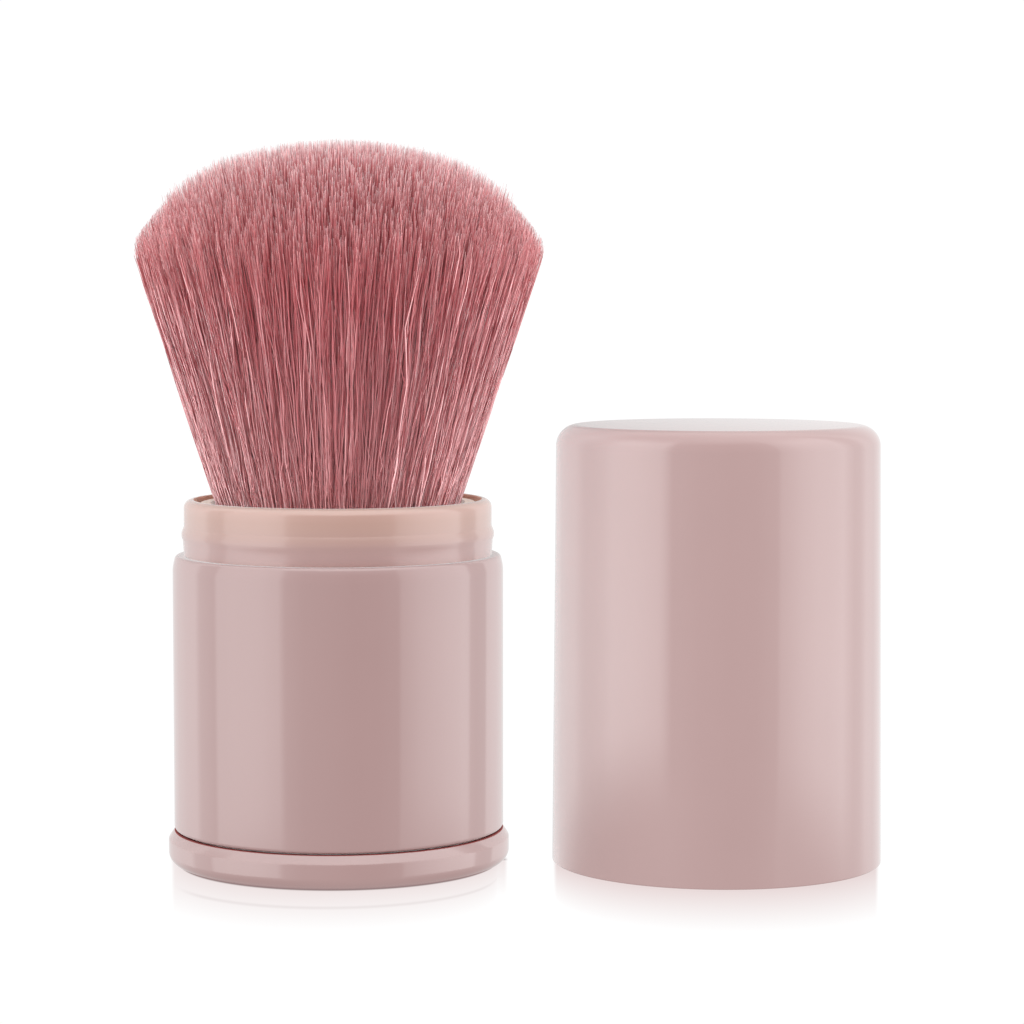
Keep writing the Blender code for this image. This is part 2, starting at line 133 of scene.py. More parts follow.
# Tuft: its glue backing, and the fan and dome that its strands fill
BACKING_RADIUS = 0.0129
BACKING_TOP = 0.03655
BACKING_FOOT = 0.03485
ROOT_RADIUS = 0.01245
TUFT_RADIUS = 0.0221
TUFT_LEAN = 0.0003
DOME_FOOT = 0.0662
DOME_TOP = 0.0784
DOME_FLATNESS = 0.042
DOME_FLAT_RISE = 0.48
DOME_FLAT_REACH = 0.34
DOME_SLACK = 0.0001
DOME_HALVINGS = 30

# Strands: their number, build and thickness
SEED = 20261130
STRAND_COUNT = 24000
STRAND_SIDES = 3
STRAND_LEVELS = np.array([
    0.0, 0.06, 0.11, 0.15, 0.19, 0.23, 0.27, 0.31, 0.38, 0.47, 0.56, 0.66, 0.76, 0.86, 0.94, 1.0,
])
STRAND_RADIUS = 0.00005
STRAND_RADIUS_SPREAD = (0.75, 1.3)
TAPER = 0.65
TAPER_LEVELS = (0.82, 1.0)
GOLDEN_ANGLE = math.pi * (3 - math.sqrt(5))
ROOT_CROWDING = 0.48
ROOT_SCATTER = 0.00008
ROOT_DEPTH = 0.0003
SECTORS = 16
BAKE_ROWS = 4
NO_LENGTH = 1e-9

# Strands: how far the longest pass the dome, and how far two kinds stay below that on average
TIP_REACH = 0.0003
SHORT_BY = 0.0030
LONG_BY = 0.0006
SHORT_SHARE = 0.3
SHORT_SHARE_MORE = 0.3
SHORT_RIM = (0.8, 1.0)

# Strands: where along them they move freely, and how
LOOSE_LEVELS = (0.0, 0.20)
CALM_LEVELS = (0.75, 1.0)
CALM_SHARE = 0.4
LOCK_LEVELS = (0.3, 0.7)
LOCK_AT_ROOT = 0.5
CRIMP_LEVELS = (0.28, 0.45)
WILD_SHARE = 0.10
WILD_MORE = 1.6
TIP_SCATTER = 0.0004
EDGE_SCATTER = 0.003

# Movement that neighbours share: modes, sizes of a cell, swing, and turns along a strand
LOCKS = (18, (0.0010, 0.0024), 0.00016, (-2.0, 2.0))
SMALL_LOCKS = (26, (0.0003, 0.0008), 0.00006, (-3.0, 3.0))

# A strand's own waves: how many along it, their size, and whether only its root has them
WAVES = ((1.4, 0.00012, False), (2.9, 0.00007, False), (8.0, 0.00008, True))

# Dye and painted shading on the strands: the length over which the colour changes, how the strands'
# tones vary, and the painted shade deep inside the tuft
DYED_LENGTH = 0.036
RIM_AHEAD = 0.010
RIM_SHARES = (0.55, 1.0)
TONE_SPREAD = 0.20
PALE_SHARE = 0.09
PALE_MORE = 0.22
TONE_LIMITS = (0.6, 1.6)
PAINTED_INNER_SHADE = 0.55
INNER_DEPTHS = (0.03, 0.12)
INNER_DROPS = (0.001, 0.005)
BLEACHED = (0.76, 0.44, 0.45, 1)
BLEACHED_TONES = (1.12, 1.5)
BLEACHED_SHARE = 0.6
FIBRE_ROUGHNESS = (0.52, 0.05)
# Colour by distance below the tip: the pale tips are partly dye and partly painted light through
# thin tips, the darker band a few millimetres down is painted shade over the dome, and the lighter
# stops towards the roots are painted light against the shade low in the tuft
DYE_AND_PAINTED_SHADING_STOPS = [
    (0.00, (0.84, 0.660, 0.670)),
    (0.012, (0.71, 0.380, 0.390)),
    (0.03, (0.60, 0.195, 0.207)),
    (0.06, (0.51, 0.107, 0.120)),
    (0.11, (0.46, 0.085, 0.098)),
    (0.25, (0.43, 0.093, 0.107)),
    (0.60, (0.47, 0.145, 0.157)),
    (1.00, (0.49, 0.160, 0.172)),
]

# Glossy plastic: noise scales are cells per metre, and roughness is its least value and its reach
SHELL_PINK = (0.389, 0.252, 0.244)
# The cap is the shell's pink plastic given a lighter pink here: painted light for the brighter
# light that falls on the cap
CAP_PINK_PAINTED_LIGHTER = (0.445, 0.297, 0.289)
CAP_NOISE_SHIFT = 0.3
GLOSS_TONES = (0.97, 1.03)
GLOSS_CLOUD = 90.0
GLOSS_GRAIN = 2600.0
GLOSS_RIPPLE = 160.0
GLOSS_ROUGHNESS = (0.03, 0.02)
RIPPLE_BUMP = (0.25, 0.00003)

# Neck: its colour from the shoulder up to the rim, with painted light: lighter and warmer towards
# the rim where light falls on it and through it, and a little lighter just above the shoulder
# against the shade in the crease there
NECK_PAINTED_LIGHT_STOPS = [
    (0.00, (0.450, 0.290, 0.272)),
    (0.12, (0.430, 0.276, 0.264)),
    (0.30, (0.420, 0.266, 0.250)),
    (0.45, (0.437, 0.276, 0.242)),
    (0.75, (0.458, 0.285, 0.240)),
    (0.90, (0.498, 0.310, 0.264)),
    (1.00, (0.510, 0.335, 0.278)),
]
NECK_CLOUD = 120.0
NECK_CLOUD_SHARE = 0.08
NECK_CLOUD_TINT = (0.50, 0.34, 0.29, 1)
NECK_GRAIN = 2200.0
NECK_RIPPLE = 150.0
NECK_ROUGHNESS = (0.10, 0.05)

# Moulded plastics: colour, roughness and shine
MOULDED = {
    "cream_plastic": ((0.60, 0.47, 0.38), 0.35, 0.4),
    "white_plastic": ((0.55, 0.54, 0.52), 0.45, 0.4),
    "tube_peach": ((0.45, 0.28, 0.23), 0.35, 0.4),
    "band_rubber": ((0.02, 0.02, 0.02), 0.65, 0.4),
    # Unpolished, and also painted shade: the shell's inside and lower edge are darker and redder
    # than its pink, for the shade in its bore and over the foot
    "pink_unpolished": ((0.34, 0.16, 0.155), 0.75, 0.0),
    # Painted shade: the foot's ledge is darker and redder than its pink, for the shade in the gap
    # under the sleeve
    "pink_ledge": ((0.34, 0.10, 0.095), 0.75, 0.0),
    "pink_underside": ((0.40, 0.27, 0.27), 0.75, 0.0),
    "peach_unpolished": ((0.56, 0.36, 0.27), 0.65, 0.1),
}
MOULDED_DARKER = 0.92
MOULDED_CLOUD = 200.0
MOULDED_GRAIN = 3500.0
MOULDED_ROUGHNESS = (-0.05, 0.1)

# Turned metals: colour, roughness and marks per metre
METALS = {
    "drawn_aluminium": ((0.75, 0.75, 0.77), 0.30, 3000.0),
    "slug_steel": ((0.45, 0.45, 0.46), 0.35, 2500.0),
}
METAL_DARKER = 0.85
METAL_ROUGHNESS = (-0.06, 0.12)
FINE_BUMP = (0.3, 0.00001)

# Glue
RESIN_TONES = ((0.42, 0.26, 0.10), (0.62, 0.44, 0.20))
RESIN_CLOUD = 260.0
RESIN_BUBBLES = 1400.0
BUBBLE_BUMP = (0.4, 0.00005)

# The finish of each solid that stays as it is
WORN = {
    "base_plug": "white_plastic",
    "weight_slug": "slug_steel",
    "slug_retainer": "white_plastic",
    "brush_seat": "cream_plastic",
    "friction_band_lower": "band_rubber",
    "friction_band_upper": "band_rubber",
    "ferrule": "drawn_aluminium",
    "resin_plug": "cured_resin",
    "stop_ring": "white_plastic",
}

# Soft boxes all round: the bearing in degrees, 0 towards the camera, and how bright it is there
BRUSH_RING = [
    (-180, 0.80), (-153, 1.05), (-137.5, 1.36), (-122.5, 1.93), (-109.5, 2.65), (-104, 2.05),
    (-89.5, 2.05), (-86.5, 3.30), (-73, 3.95), (-60, 4.14), (-52, 4.05), (-40.5, 3.50), (-36, 1.65),
    (-24, 0.95), (-11.5, 0.70), (10, 0.33), (26, 0.40), (40.5, 0.84), (43.5, 1.95), (58.5, 3.16),
    (70, 3.67), (81.5, 3.92), (97, 3.88), (103, 3.56), (106.5, 2.15), (113, 1.75), (125.5, 1.52),
    (129, 2.22), (147, 1.55), (162.5, 1.17), (180, 0.86),
]
CAP_RING = [
    (-180, 0.75), (-163, 1.45), (-147, 2.10), (-134, 2.85), (-122.5, 3.55), (-109.5, 3.60),
    (-100, 3.95), (-89.5, 4.50), (-80, 5.30), (-73, 5.30), (-60, 5.10), (-52, 4.76), (-40.5, 4.10),
    (-36.5, 3.20), (-31, 1.50), (-24, 1.30), (-11.5, 0.87), (10, 0.54), (26, 0.62), (40.5, 1.25),
    (43.5, 2.35), (58.5, 3.74), (70, 4.22), (81.5, 4.06), (92, 3.85), (97, 3.00), (104, 2.15),
    (111, 1.95), (119, 2.15), (132, 1.50), (162.5, 1.00), (180, 0.75),
]
CAP_TOP_LIGHT = 1.1
CAP_TOP_RING = [(bearing, min(level, CAP_TOP_LIGHT)) for bearing, level in CAP_RING]

# Light from above: its level, the rises where it starts and is full, and how far back it reaches
BRUSH_ZENITH = (4.2, 0.30, 0.75, 0.05)
CAP_ZENITH = (2.2, 0.62, 0.98, 1.0)
ZENITH_FADE = 0.4

# Low down: the most that the boxes give, then the floor's glow, and how steeply down each is
LOW_LIGHT = 1.6
LOW_LIGHT_FALLS = (0.31, 0.45)
FLOOR_GLOW = 0.6
FLOOR_GLOW_FALLS = (0.20, 0.80)

# Spheres that carry the soft boxes, one inside the other
BOX_CENTRE = (0.0207, 0.0, 0.035)
BRUSH_SPHERE = 0.300
CAP_SPHERE = 0.294
CAP_TOP_SPHERE = 0.288
SPHERE_FINENESS = 4

# Suns on the hair: bearing, rise and spread in degrees, and strength
HAIR_LIGHT = (92, -8, 60, 1.6)
HAIR_SHINE = (94, -18, 60, 32.0)

# Surroundings: what the camera sees, and what lights matt surfaces from the side, top and foot
WHITE = (1.02, 1.02, 1.02)
SIDE_LIGHT = 1.2
TOP_LIGHT = 1.4
FOOT_LIGHT = 0.9

# Floor, with a painted reflection of what stands on it, a painted contact shadow and a painted
# reflection of the brush's gap line
FLOOR_SIZE = 4.0
FLOOR_DEPTH = 0.00002
CONTACT_RADIUS = 0.0174
# Painted shade along the foot's contact and a painted reflection of its gap line, both in this tint
PAINTED_DARK_LINE_TINT = (0.34, 0.27, 0.27)
PAINTED_CONTACT_SHADE_GAPS = (0.0003, 0.0012)
PAINTED_REFLECTION_REACH = 0.022
PAINTED_REFLECTION_TINT = (0.80, 0.69, 0.685)
PAINTED_REFLECTION_FRONT = (-0.002, 0.002)
PAINTED_REFLECTION_SIDES = (0.0, 0.06)
PAINTED_LINE_GAP = 0.0098
PAINTED_LINE_WIDTH = 0.0013
PAINTED_LINE_SIDES = (0.02, 0.35)
PAINTED_LINE_SHARE = 0.14

# What stands on the floor: centre, half width, contact radius, and shares of the painted reflection
# and of the painted dark lines
STANDING = (
    (0.0, FOOT_RADIUS, CONTACT_RADIUS, 0.8, 1.0),
    (CAP_AXIS_X, CAP_MOUTH_RADIUS, CAP_MOUTH_RADIUS, 1.0, 0.0),
)


class Wire:
    """A shader value that takes part in sums: each operator adds the node that works it out."""

    def __init__(self, shading, socket):
        self.shading, self.socket = shading, socket

    def maths(self, operation, *values):
        return self.shading.node("Math", {"operation": operation}, dict(enumerate(values)))

    def __add__(self, other):
        return self.maths("ADD", self, other)

    __radd__ = __add__

    def __sub__(self, other):
        return self.maths("SUBTRACT", self, other)

    def __rsub__(self, other):
        return self.maths("SUBTRACT", other, self)

    def __mul__(self, other):
        return self.maths("MULTIPLY", self, other)

    __rmul__ = __mul__

    def __truediv__(self, other):
        return self.maths("DIVIDE", self, other)

    def __pow__(self, other):
        return self.maths("POWER", self, other)

    def __neg__(self):
        return self.maths("MULTIPLY", self, -1.0)

    def least(self, other):
        return self.maths("MINIMUM", self, other)

    def most(self, other):
        return self.maths("MAXIMUM", self, other)


class Shading:
    """A node tree and the one way in which nodes are added to it."""

    def __init__(self, tree):
        self.tree = tree

    def node(self, kind, settings=None, sockets=None, out=0):
        node = self.tree.nodes.new("ShaderNode" + kind)
        for name, value in (settings or {}).items():
            if name == "stops":
                set_stops(node.color_ramp, value)
            else:
                setattr(node, name, value)
        for name, value in (sockets or {}).items():
            self.feed(node.inputs[name], value)
        return Wire(self, node.outputs[out])

    def feed(self, socket, value):
        if isinstance(value, Wire):
            self.tree.links.new(value.socket, socket)
        else:
            socket.default_value = value

    def mix(self, factor, first, second, blend="MIX"):
        """Two colours mixed."""
        settings = {"data_type": "RGBA", "blend_type": blend, "clamp_factor": True}
        return self.node("Mix", settings, {0: factor, 6: first, 7: second}, out=2)

    def band(self, value, low, high):
        """0 below low, 1 above high, smooth between."""
        settings = {"interpolation_type": "SMOOTHSTEP"}
        return self.node("MapRange", settings, {"Value": value, "From Min": low, "From Max": high})

    def grey(self, value):
        """A colour whose three parts are one value."""
        return self.node("CombineColor", None, {0: value, 1: value, 2: value})

    def parts(self, vector):
        """The three parts of a vector."""
        separated = self.node("SeparateXYZ", None, {0: vector}).socket.node
        return [Wire(self, output) for output in separated.outputs]


class Finish(Shading):
    """A material: its Principled shader, with whatever is the same all over set on it at once."""

    def __init__(self, name, uniform):
        self.material = bpy.data.materials.new(name)
        self.material.use_nodes = True
        super().__init__(self.material.node_tree)
        self.shader = self.tree.nodes["Principled BSDF"]
        for socket, value in uniform.items():
            self.shader.inputs[socket].default_value = value

    def set(self, socket, value):
        self.feed(self.shader.inputs[socket], value)

    def place(self):
        """Position in metres, in the piece's own frame."""
        return self.node("TexCoord", out="Object")

    def noise(self, where, scale, detail):
        sockets = {"Vector": where, "Scale": scale, "Detail": detail}
        return self.node("TexNoise", None, sockets)

    def mottle(self, cloud, darker, lighter):
        """A base colour that wanders between two."""
        self.set("Base Color", self.mix(cloud, (*darker, 1), (*lighter, 1)))

    def roughen(self, share, least, reach):
        """A roughness that varies upwards from its least value."""
        self.set("Roughness", least + share * reach)

    def bump(self, height, strength, distance):
        sockets = {"Strength": strength, "Distance": distance, "Height": height}
        self.set("Normal", self.node("Bump", None, sockets))


def set_stops(ramp, stops):
    """Give a ramp its stops: (position, value or colour)."""
    elements = ramp.elements
    while len(elements) > 1:
        elements.remove(elements[-1])
    for number, (position, value) in enumerate(stops):
        colour = (value, value, value) if isinstance(value, float) else value
        element = elements[0] if number == 0 else elements.new(position)
        element.position = position
        element.color = (*colour, 1.0)


def scaled(colour, share):
    return tuple(share * part for part in colour)


def smooth_step(value, low, high):
    share = np.clip((value - low) / (high - low), 0, 1)
    return share * share * (3 - 2 * share)


def rounded(corners):
    """The outline through corners of (radius, height) or (radius, height, rounding)."""
    outline = []
    for number, corner in enumerate(corners):
        if len(corner) == 2:
            outline.append(corner)
        else:
            before, after = corners[number - 1][:2], corners[number + 1][:2]
            outline += corner_arc(corner[:2], before, after, corner[2])
    return outline


def corner_arc(corner, before, after, rounding):
    """Points of the arc that replaces a corner between its two neighbours."""
    to_before = math.atan2(before[1] - corner[1], before[0] - corner[0])
    to_after = math.atan2(after[1] - corner[1], after[0] - corner[0])
    opening = (to_after - to_before + math.pi) % math.tau - math.pi
    half = abs(opening) / 2
    middle = to_before + opening / 2
    reach = rounding / math.sin(half)
    centre = (corner[0] + reach * math.cos(middle), corner[1] + reach * math.sin(middle))
    sweep = math.pi - abs(opening)
    pieces = max(2, math.ceil(sweep * rounding / ROUND_CHORD))
    turn = math.copysign(sweep, opening)
    first = middle + math.pi + turn / 2
    return [
        (
            centre[0] + rounding * math.cos(first - turn * step / pieces),
            centre[1] + rounding * math.sin(first - turn * step / pieces),
        )
        for step in range(pieces + 1)
    ]


def first_where(outline, test):
    """Number of the first point of an outline whose radius and height pass a test."""
    return next(number for number, (r, z) in enumerate(outline) if test(r, z))


def piece_of(name, mesh, body, finish, nodes):
    """An object with its finish, on its body, standing for its solids."""
    mesh.name = name
    mesh.materials.clear()
    mesh.materials.append(finish)
    piece = bpy.data.objects.new(name, mesh)
    bpy.context.scene.collection.objects.link(piece)
    piece.visible_glossy = False
    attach(piece, body)
    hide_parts(*nodes)
    return piece


def turned(name, outline, body, finish, node, x=0.0):
    """A turned skin for a solid: its outline runs down the outer side and up the inner one."""
    mesh = bpy.data.meshes.new(name)
    edges = [(number, number + 1) for number in range(len(outline) - 1)]
    mesh.from_pydata([(r, 0.0, z) for r, z in outline], edges, [])
    form = bpy.data.objects.new(name + "_outline", mesh)
    bpy.context.scene.collection.objects.link(form)
    screw = form.modifiers.new("Turn", "SCREW")
    screw.axis = "Z"
    screw.angle = math.tau
    screw.steps = screw.render_steps = TURN_STEPS
    screw.use_merge_vertices = True
    screw.merge_threshold = MERGE_DISTANCE
    bpy.context.view_layer.update()
    seen = form.evaluated_get(bpy.context.evaluated_depsgraph_get())
    done = bpy.data.meshes.new_from_object(seen)
    bpy.data.objects.remove(form, do_unlink=True)
    bpy.data.meshes.remove(mesh)
    done.transform(Matrix.Translation((x, 0, 0)))
    done.shade_smooth()
    done.set_sharp_from_angle(angle=SHARP_ANGLE)
    return piece_of(name, done, body, finish, [node])


def grooved_plan():
    """The plunger tube's outer side seen from above: (turn, radius), with a groove for each key."""
    half = GROOVE_WIDTH / 2
    floor_radius = TUBE_RADIUS - GROOVE_DEPTH
    edge, corner = math.asin(half / TUBE_RADIUS), math.atan2(half, floor_radius)
    corner_radius = math.hypot(half, floor_radius)
    wall = math.tau / GROOVE_COUNT - 2 * edge
    steps = TURN_STEPS // GROOVE_COUNT
    plan = []
    for number in range(GROOVE_COUNT):
        middle = math.tau * number / GROOVE_COUNT
        plan += [(middle - edge, TUBE_RADIUS), (middle - corner, corner_radius)]
        plan += [(middle + corner, corner_radius), (middle + edge, TUBE_RADIUS)]
        plan += [(middle + edge + wall * step / steps, TUBE_RADIUS) for step in range(1, steps)]
    return plan


def plunger(finish):
    """The tube that the sleeve runs along: a closed skin, chamfered at its foot."""
    plan = grooved_plan()
    bore = [(turn, TUBE_BORE) for turn in sorted(turn for turn, _ in plan)]
    rings = [
        (plan, TUBE_CHAMFER, TUBE_FOOT),
        (plan, 0.0, TUBE_FOOT + TUBE_CHAMFER),
        (plan, 0.0, TUBE_TOP),
        (bore, 0.0, TUBE_TOP),
        (bore, 0.0, TUBE_FOOT),
    ]
    points = [
        ((radius - inset) * math.cos(turn), (radius - inset) * math.sin(turn), height)
        for outline, inset, height in rings
        for turn, radius in outline
    ]
    count = len(plan)
    faces = []
    for ring in range(len(rings)):
        low, high = ring * count, (ring + 1) % len(rings) * count
        for here in range(count):
            after = (here + 1) % count
            faces.append((low + here, low + after, high + after, high + here))
    mesh = bpy.data.meshes.new("plunger")
    mesh.from_pydata(points, [], faces)
    mesh.shade_smooth()
    mesh.set_sharp_from_angle(angle=SHARP_ANGLE)
    return piece_of("plunger_skin", mesh, "carriage", finish, ["plunger_tube"])


def foot(polished, ledge_painted_shade, under_finish):
    """The foot's cup, unpolished on the ledge inside its top edge and underneath; the ledge's dark
    red is painted shade for the gap under the sleeve.
    """
    cup_radius = FOOT_RADIUS - FOOT_WALL
    bevel_radius = FOOT_RADIUS - FOOT_BEVEL_WIDTH
    outline = rounded([
        (0.0, FOOT_FLOOR),
        (cup_radius, FOOT_FLOOR),
        (cup_radius, FOOT_HEIGHT - FOOT_INNER_BEVEL),
        (cup_radius + FOOT_INNER_BEVEL, FOOT_HEIGHT),
        (bevel_radius, FOOT_HEIGHT, FOOT_BEVEL_ROUND),
        (FOOT_RADIUS, FOOT_HEIGHT - FOOT_BEVEL_HEIGHT, FOOT_SIDE_ROUND),
        (FOOT_RADIUS, 0.0, FOOT_BOTTOM_ROUND),
        (0.0, 0.0),
    ])
    ledge = first_where(outline, lambda r, z: r > bevel_radius)
    under = first_where(outline, lambda r, z: r > cup_radius and z < FOOT_POLISH_END)
    for name, part, finish in (
        ("foot_ledge", outline[: ledge + 1], ledge_painted_shade),
        ("foot_cover", outline[ledge : under + 1], polished),
        ("foot_underside", outline[under:], under_finish),
    ):
        turned(name, part, "carriage", finish, "base_cover")


def shell(polished, bore_finish):
    """The sleeve's shell, unpolished inside, and in a darker, redder pink there that is painted
    shade.
    """
    outline = rounded([
        (LINER_RADIUS, SHOULDER_HEIGHT),
        (SHELL_RADIUS - BEND_WIDTH, SHOULDER_HEIGHT, SHOULDER_ROUND),
        (SHELL_RADIUS, SHOULDER_HEIGHT - BEND_HEIGHT, BEND_ROUND),
        (SHELL_RADIUS, SLEEVE_FOOT, SHELL_EDGE_ROUND),
        (SHELL_RADIUS - SHELL_EDGE_WIDTH, SLEEVE_FOOT),
    ])
    under = first_where(outline, lambda r, z: z < SHELL_POLISH_END)
    inner = [(SHELL_BORE, SLEEVE_FOOT), (SHELL_BORE, SHOULDER_HEIGHT - BEND_HEIGHT)]
    outer, bore = outline[: under + 1], outline[under:] + inner + outline[:1]
    turned("sleeve_shell", outer, "sleeve", polished, "outer_shell")
    turned("sleeve_shell_bore", bore, "sleeve", bore_finish, "outer_shell")


def liner(neck_skin, bore_finish):
    """The sleeve's liner: the neck with its snap bead, and the rest down inside the shell."""
    neck = rounded([
        (NECK_RIM, NECK_TOP),
        (NECK_TOP_RADIUS, NECK_TOP, NECK_EDGE_ROUND),
        (NECK_TOP_RADIUS, BEAD_TOP + BEAD_UPPER_SLOPE, BEAD_ROUND),
        (BEAD_RADIUS, BEAD_TOP),
        (BEAD_RADIUS, BEAD_FOOT),
        (NECK_FOOT_RADIUS, BEAD_FOOT - BEAD_LOWER_SLOPE),
        (LINER_RADIUS, SHOULDER_HEIGHT),
    ])
    turned("sleeve_neck", neck, "sleeve", neck_skin, "neck_liner")
    inner = rounded([
        (LINER_RADIUS, SHOULDER_HEIGHT),
        (LINER_RADIUS, SLEEVE_FOOT),
        (LINER_BORE, SLEEVE_FOOT),
        (LINER_BORE, NECK_TOP, NECK_BORE_ROUND),
        (NECK_RIM + NECK_BORE_ROUND, NECK_TOP),
    ])
    turned("sleeve_liner", inner[:-1], "sleeve", bore_finish, "neck_liner")


def cap(finish):
    """The cap's flat top, with the start of its rounding, and the rest, as two pieces."""
    ceiling = CAP_HEIGHT - CAP_CROWN_WALL
    outline = rounded([
        (0.0, CAP_HEIGHT),
        (CAP_CROWN_RADIUS, CAP_HEIGHT, CAP_CROWN_ROUND),
        (CAP_MOUTH_RADIUS, 0.0, CAP_EDGE_ROUND),
        (CAP_MOUTH_BORE, 0.0),
        (CAP_MOUTH_BORE, RIDGE_HEIGHT - RIDGE_HALF_WIDTH),
        (CAP_MOUTH_BORE - RIDGE_REACH, RIDGE_HEIGHT),
        (CAP_MOUTH_BORE, RIDGE_HEIGHT + RIDGE_HALF_WIDTH),
        (CAP_CROWN_RADIUS - CAP_CROWN_WALL, ceiling, CAP_INNER_ROUND),
        (0.0, ceiling),
    ])
    crown = first_where(outline, lambda r, z: z < CAP_TOP_END)
    parts = (("cap_top", outline[: crown + 1]), ("cap_cover", outline[crown:]))
    pieces = []
    for name, part in parts:
        piece = turned(name, part, "cap", finish, "cap_shell", CAP_AXIS_X)
        piece.visible_diffuse = False
        pieces.append(piece)
    return pieces


def gloss(name, colour, shift):
    """Pigmented plastic with a deep gloss: a faint clouding, and a ripple in what it reflects."""
    finish = Finish(name, {"Specular IOR Level": 0.5, "IOR": 1.5})
    moved = {0: finish.place(), 1: (shift, 0, 0)}
    place = finish.node("VectorMath", {"operation": "ADD"}, moved)
    darker, lighter = (scaled(colour, tone) for tone in GLOSS_TONES)
    finish.mottle(finish.noise(place, GLOSS_CLOUD, detail=3.0), darker, lighter)
    finish.roughen(finish.noise(place, GLOSS_GRAIN, detail=2.0), *GLOSS_ROUGHNESS)
    finish.bump(finish.noise(place, GLOSS_RIPPLE, detail=1.0), *RIPPLE_BUMP)
    return finish.material


def neck_finish():
    """Peach plastic with painted light: lighter and warmer at the rim, a greyer pink towards the
    shoulder, and a little lighter again at the shoulder's crease.
    """
    finish = Finish("peach_satin_painted_light", {"IOR": 1.5})
    place = finish.place()
    _, _, height = finish.parts(place)
    rise = (height - SHOULDER_HEIGHT) / (NECK_TOP - SHOULDER_HEIGHT)
    body = finish.node("ValToRGB", {"stops": NECK_PAINTED_LIGHT_STOPS}, {"Fac": rise})
    cloud = finish.noise(place, NECK_CLOUD, detail=3.0)
    finish.set("Base Color", finish.mix(cloud * NECK_CLOUD_SHARE, body, NECK_CLOUD_TINT))
    finish.roughen(finish.noise(place, NECK_GRAIN, detail=2.0), *NECK_ROUGHNESS)
    finish.bump(finish.noise(place, NECK_RIPPLE, detail=1.0), *RIPPLE_BUMP)
    return finish.material


def moulded(name, colour, roughness, shine):
    """Plain moulded plastic with a fine grain."""
    finish = Finish(name, {"IOR": 1.48, "Specular IOR Level": shine})
    place = finish.place()
    cloud = finish.noise(place, MOULDED_CLOUD, detail=4.0)
    finish.mottle(cloud, scaled(colour, MOULDED_DARKER), colour)
    grain = finish.noise(place, MOULDED_GRAIN, detail=2.0)
    lower, reach = MOULDED_ROUGHNESS
    finish.roughen(grain, roughness + lower, reach)
    finish.bump(grain, *FINE_BUMP)
    return finish.material


def turned_metal(name, colour, roughness, rings):
    """Metal with fine marks round its axis."""
    finish = Finish(name, {"Metallic": 1.0})
    _, _, height = finish.parts(finish.place())
    sockets = {"W": height, "Scale": rings, "Detail": 4.0}
    marks = finish.node("TexNoise", {"noise_dimensions": "1D"}, sockets)
    finish.mottle(marks, scaled(colour, METAL_DARKER), colour)
    lower, reach = METAL_ROUGHNESS
    finish.roughen(marks, roughness + lower, reach)
    finish.bump(marks, *FINE_BUMP)
    return finish.material


def resin():
    """Amber glue with small bubbles."""
    finish = Finish("cured_resin", {"IOR": 1.52, "Roughness": 0.2})
    place = finish.place()
    finish.mottle(finish.noise(place, RESIN_CLOUD, detail=4.0), *RESIN_TONES)
    bubbles = finish.node("TexVoronoi", None, {"Vector": place, "Scale": RESIN_BUBBLES})
    finish.bump(bubbles, *BUBBLE_BUMP)
    return finish.material


def fibre():
    """Dyed fibre with painted light and shade: paler towards the tip, partly dye and partly painted
    light; a painted darker band over the dome and painted lighter roots; each strand lighter or
    darker, deep ones with painted shade; the odd one bleached.
    """
    finish = Finish("dyed_fibre_painted_shading", {"IOR": 1.5, "Specular IOR Level": 0.12})
    below_tip = finish.node("Attribute", {"attribute_name": "below_tip"}, out="Fac")
    tone = finish.node("Attribute", {"attribute_name": "tone"}, out="Fac")
    dye_and_painted_shading = finish.node("ValToRGB", {"stops": DYE_AND_PAINTED_SHADING_STOPS}, {"Fac": below_tip})
    bleach = finish.band(tone, *BLEACHED_TONES) * BLEACHED_SHARE
    dye_and_painted_shading = finish.mix(bleach, dye_and_painted_shading, BLEACHED)
    finish.set("Base Color", finish.mix(1.0, dye_and_painted_shading, finish.grey(tone), "MULTIPLY"))
    finish.roughen(below_tip, *FIBRE_ROUGHNESS)
    return finish.material


def tuft_reach(height):
    """Radius of the fan's outermost strands at a height, as a multiple of their root radius."""
    rise = (height - BACKING_TOP) / (DOME_FOOT - BACKING_TOP)
    return 1 + (TUFT_RADIUS / ROOT_RADIUS - 1) * rise


def dome_reach(rise):
    """The dome's radius at a share of its rise: an ellipse, a little flatter on its way down."""
    flatter = np.maximum(0, 1 - ((rise - DOME_FLAT_RISE) / DOME_FLAT_REACH) ** 2)
    return np.sqrt(np.maximum(0, 1 - rise**2)) * (1 - DOME_FLATNESS * flatter)


def dome_height(root_share):
    """Height at which a strand rooted at this share of the root radius meets the dome."""
    low = np.full(root_share.shape, DOME_FOOT)
    high = np.full(root_share.shape, DOME_TOP)
    for _ in range(DOME_HALVINGS):
        middle = (low + high) / 2
        out = root_share * ROOT_RADIUS * tuft_reach(middle) / TUFT_RADIUS
        inside = out < dome_reach((middle - DOME_FOOT) / (DOME_TOP - DOME_FOOT))
        low = np.where(inside, middle, low)
        high = np.where(inside, high, middle)
    return low


def strand_roots(chance):
    """Where the strands leave the glue, spread like a sunflower's seeds and a little scattered."""
    number = np.arange(STRAND_COUNT)
    share = ((number + 0.5) / STRAND_COUNT) ** ROOT_CROWDING
    turn = number * GOLDEN_ANGLE
    roots = np.stack([share * np.cos(turn), share * np.sin(turn)], 1) * ROOT_RADIUS
    roots += chance.normal(0, ROOT_SCATTER, roots.shape)
    reach = np.hypot(roots[:, 0], roots[:, 1])
    roots *= (np.minimum(reach, ROOT_RADIUS) / np.maximum(reach, NO_LENGTH))[:, None]
    return roots


